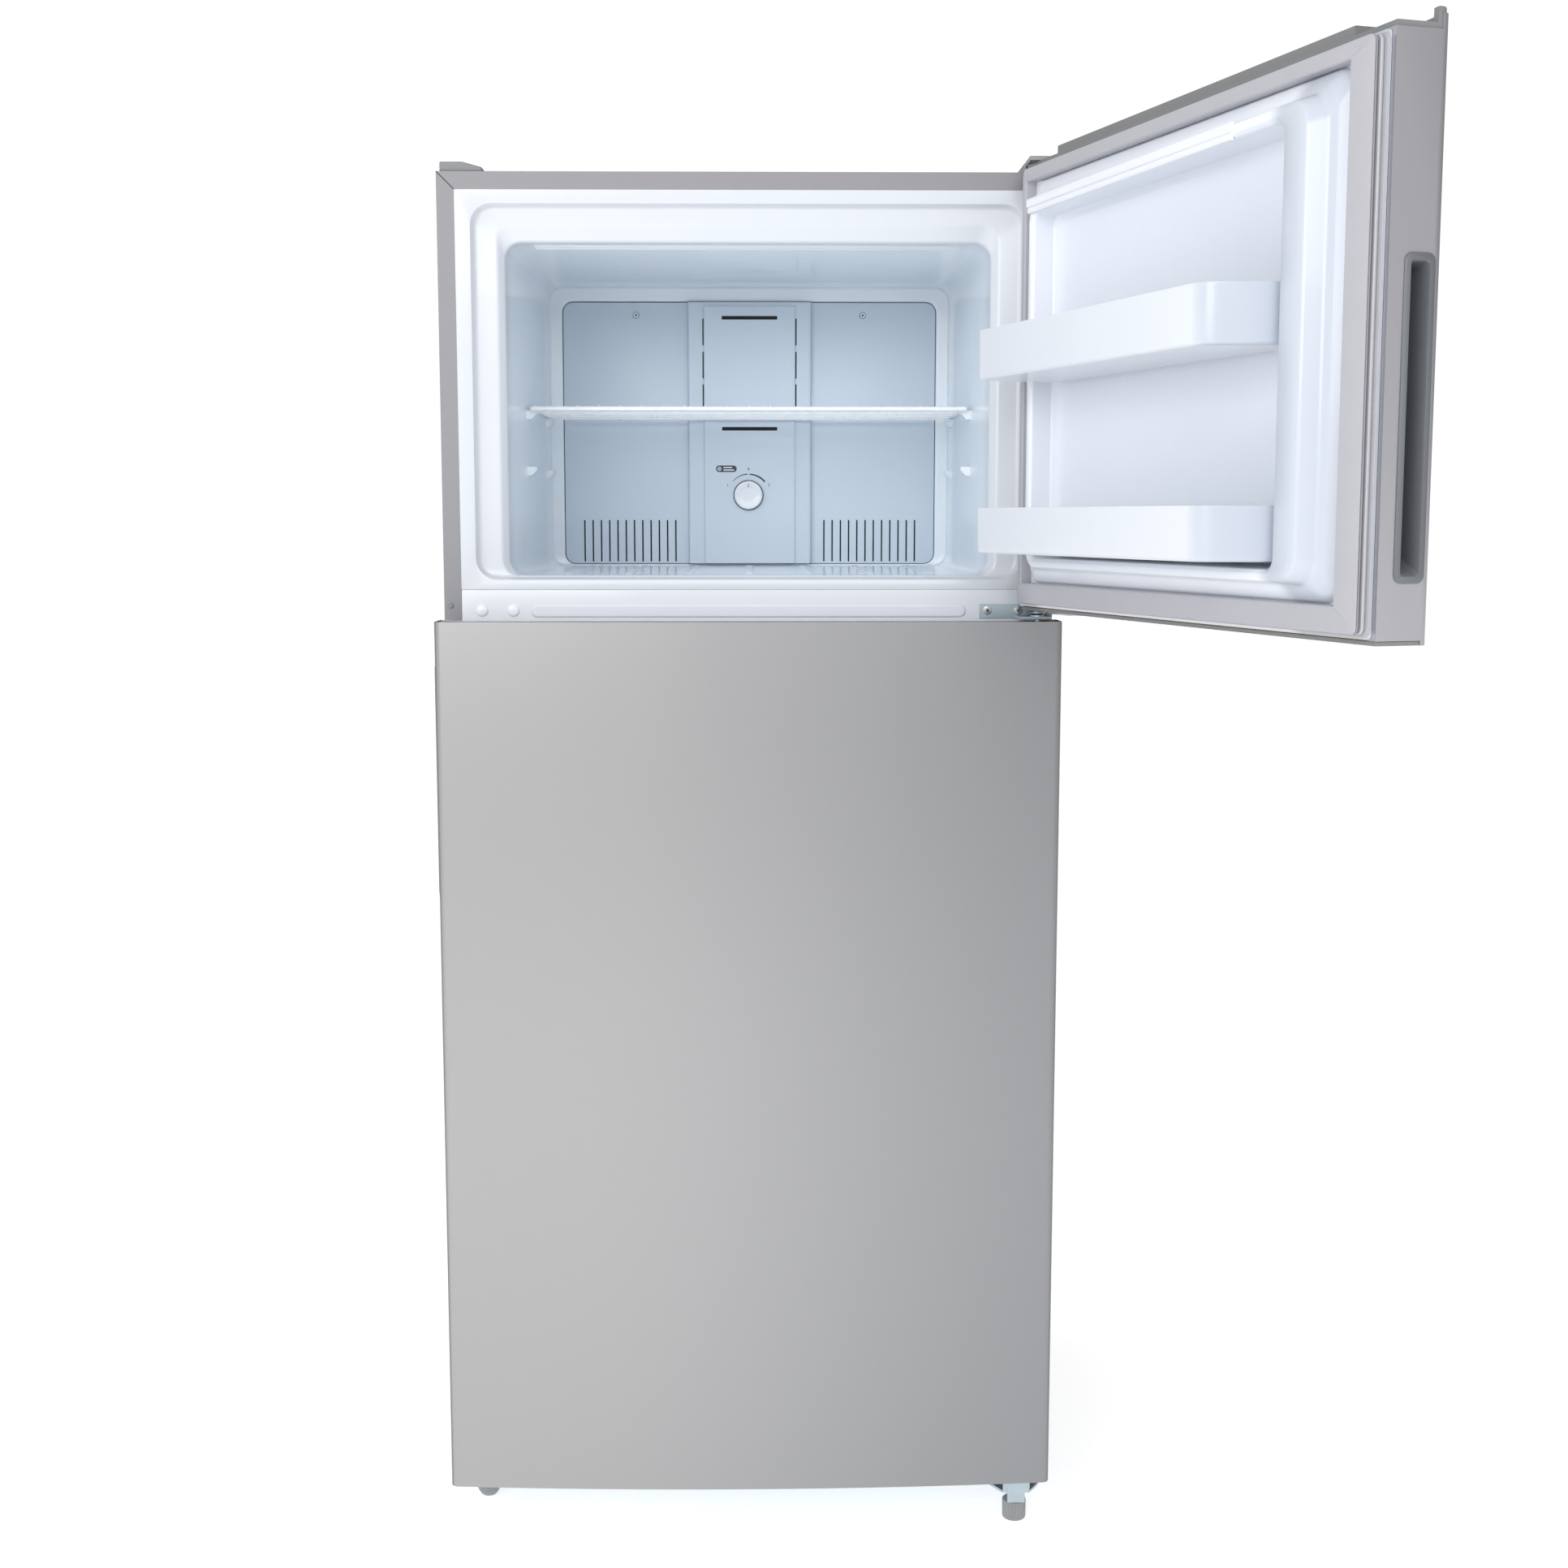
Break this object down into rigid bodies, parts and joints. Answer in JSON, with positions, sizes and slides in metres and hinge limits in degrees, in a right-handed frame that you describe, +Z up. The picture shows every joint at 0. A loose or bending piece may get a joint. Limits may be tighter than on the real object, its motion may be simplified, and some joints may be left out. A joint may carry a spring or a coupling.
{
  "type": "top freezer refrigerator",
  "caption": "Upright refrigerator with a freezer on top, hinged doors, pocket handles, door bins, shelves and crisper drawers; freezer door stored open.",
  "frame": {"origin": "bottom centre of the bounding box, on the floor, with the freezer door standing open as stored", "axes": "+Z up, -Y towards the user in front of the doors, +X to the user's right, where both doors hinge"},
  "size_m": [0.9748, 1.3856, 1.706],
  "materials": {
    "case_paint": "grey textured paint on folded steel sheet",
    "door_steel": "satin stainless-look sheet",
    "grey_plastic": "matte grey moulding",
    "white_plastic": "glossy white vacuum-formed or moulded plastic",
    "panel_plastic": "bluish white panel",
    "seal_rubber": "grey magnetic door seal",
    "zinc": "zinc plated pressed steel",
    "bright_steel": "bright plated steel",
    "foam": "rigid polyurethane foam, all of it hidden",
    "aluminium": "mill finish aluminium",
    "black_shell": "black painted sealed compressor, a solid standing in for a hollow steel shell",
    "black_paint": "black painted steel",
    "black_plastic": "black moulding",
    "clear_glass": "clear glass",
    "clear_plastic": "clear moulded plastic",
    "wire_coat": "white coated steel wire"
  },
  "bodies": {
    "cabinet": {"cabinet_wrap": "case_paint", "rear_panel": "case_paint", "base_pan": "zinc", "cabinet_foam": "foam", "freezer_liner": "white_plastic", "fridge_liner": "white_plastic", "mullion_rail": "white_plastic", "evaporator_cover": "panel_plastic", "evaporator_coil": "aluminium", "evaporator_fan_motor": "black_plastic", "defrost_heater": "bright_steel", "top_hinge_bracket": "zinc", "top_hinge_cover": "grey_plastic", "top_left_cap": "grey_plastic", "mid_hinge_bracket": "zinc", "mid_hinge_screw_inner": "bright_steel", "mid_hinge_screw_outer": "bright_steel", "bottom_hinge_bracket": "zinc", "roller_bracket_left": "zinc", "roller_bracket_right": "zinc", "compressor": "black_shell", "condenser_coil": "black_paint", "drain_pan": "black_plastic", "control_housing": "white_plastic", "light_bulb": "clear_glass", "glass_shelf_upper": "clear_glass", "glass_shelf_lower": "clear_glass", "crisper_cover": "clear_glass"},
    "freezer_door": {"freezer_door_skin": "door_steel", "freezer_door_foam": "foam", "freezer_door_liner": "white_plastic", "freezer_door_gasket": "seal_rubber", "freezer_door_top_cap": "grey_plastic", "freezer_door_bottom_cap": "grey_plastic", "freezer_door_handle": "grey_plastic", "freezer_door_cam": "white_plastic", "freezer_door_trim": "white_plastic"},
    "fridge_door": {"fridge_door_skin": "door_steel", "fridge_door_foam": "foam", "fridge_door_liner": "white_plastic", "fridge_door_gasket": "seal_rubber", "fridge_door_top_cap": "grey_plastic", "fridge_door_bottom_cap": "grey_plastic", "fridge_door_handle": "grey_plastic"},
    "evaporator_fan": {"evaporator_fan": "black_plastic"},
    "freezer_control_knob": {"freezer_control_knob": "white_plastic"},
    "freezer_wire_shelf": {"freezer_wire_shelf": "wire_coat"},
    "foot_right": {"foot_right": "grey_plastic"},
    "foot_left": {"foot_left": "grey_plastic"},
    "roller_left": {"roller_left": "black_plastic"},
    "roller_right": {"roller_right": "black_plastic"},
    "crisper_left": {"crisper_left": "clear_plastic"},
    "crisper_right": {"crisper_right": "clear_plastic"},
    "fridge_control_dial": {"fridge_control_dial": "white_plastic"},
    "light_switch_plunger": {"light_switch_plunger": "white_plastic"},
    "freezer_bin_upper": {"freezer_bin_upper": "white_plastic"},
    "freezer_bin_lower": {"freezer_bin_lower": "white_plastic"},
    "fridge_bin_upper": {"fridge_bin_upper": "clear_plastic"},
    "fridge_bin_middle": {"fridge_bin_middle": "clear_plastic"},
    "fridge_bin_lower": {"fridge_bin_lower": "clear_plastic"}
  },
  "joints": [
    {"name": "freezer_door_hinge", "type": "hinge", "parent": "cabinet", "child": "freezer_door", "pos_m": [0.23941, 0.00633, 0], "axis": [0, 0, 1], "range_deg": [-106.8, 0]},
    {"name": "fridge_door_hinge", "type": "hinge", "parent": "cabinet", "child": "fridge_door", "pos_m": [0.23941, 0.00633, 0], "axis": [0, 0, 1], "range_deg": [0, 106.8]},
    {"name": "freezer_bin_upper_lift", "type": "slide", "parent": "freezer_door", "child": "freezer_bin_upper", "axis": [0, 0, 1], "range_m": [0, 0.03]},
    {"name": "freezer_bin_lower_lift", "type": "slide", "parent": "freezer_door", "child": "freezer_bin_lower", "axis": [0, 0, 1], "range_m": [0, 0.03]},
    {"name": "fridge_bin_upper_lift", "type": "slide", "parent": "fridge_door", "child": "fridge_bin_upper", "axis": [0, 0, 1], "range_m": [0, 0.03]},
    {"name": "fridge_bin_middle_lift", "type": "slide", "parent": "fridge_door", "child": "fridge_bin_middle", "axis": [0, 0, 1], "range_m": [0, 0.03]},
    {"name": "fridge_bin_lower_lift", "type": "slide", "parent": "fridge_door", "child": "fridge_bin_lower", "axis": [0, 0, 1], "range_m": [0, 0.03]},
    {"name": "wire_shelf_slide", "type": "slide", "parent": "cabinet", "child": "freezer_wire_shelf", "axis": [0, -1, 0], "range_m": [0, 0.15]},
    {"name": "crisper_left_slide", "type": "slide", "parent": "cabinet", "child": "crisper_left", "axis": [0, -1, 0], "range_m": [0, 0.04]},
    {"name": "crisper_right_slide", "type": "slide", "parent": "cabinet", "child": "crisper_right", "axis": [0, -1, 0], "range_m": [0, 0.04]},
    {"name": "freezer_knob_turn", "type": "hinge", "parent": "cabinet", "child": "freezer_control_knob", "pos_m": [-0.11259, 0.52483, 1.3076], "axis": [0, 1, 0], "range_deg": [-55, 55]},
    {"name": "fridge_dial_turn", "type": "hinge", "parent": "cabinet", "child": "fridge_control_dial", "pos_m": [-0.04059, 0.16083, 1.0525], "axis": [0, 1, 0], "range_deg": [-120, 120]},
    {"name": "evaporator_fan_spin", "type": "hinge", "parent": "cabinet", "child": "evaporator_fan", "pos_m": [-0.11059, 0.56483, 1.49], "axis": [0, 1, 0], "continuous": true},
    {"name": "foot_right_screw", "type": "hinge", "parent": "cabinet", "child": "foot_right", "pos_m": [0.22741, 0.01483, 0], "axis": [0, 0, 1], "continuous": true},
    {"name": "foot_left_screw", "type": "hinge", "parent": "cabinet", "child": "foot_left", "pos_m": [-0.45509, 0.08783, 0], "axis": [0, 0, 1], "continuous": true},
    {"name": "roller_left_spin", "type": "hinge", "parent": "cabinet", "child": "roller_left", "pos_m": [-0.44059, 0.60083, 0.021], "axis": [1, 0, 0], "continuous": true},
    {"name": "roller_right_spin", "type": "hinge", "parent": "cabinet", "child": "roller_right", "pos_m": [0.21941, 0.60083, 0.021], "axis": [1, 0, 0], "continuous": true},
    {"name": "light_switch_press", "type": "slide", "parent": "cabinet", "child": "light_switch_plunger", "axis": [0, 1, 0], "range_m": [0, 0.003], "stiffness_N_per_m": 60}
  ]
}
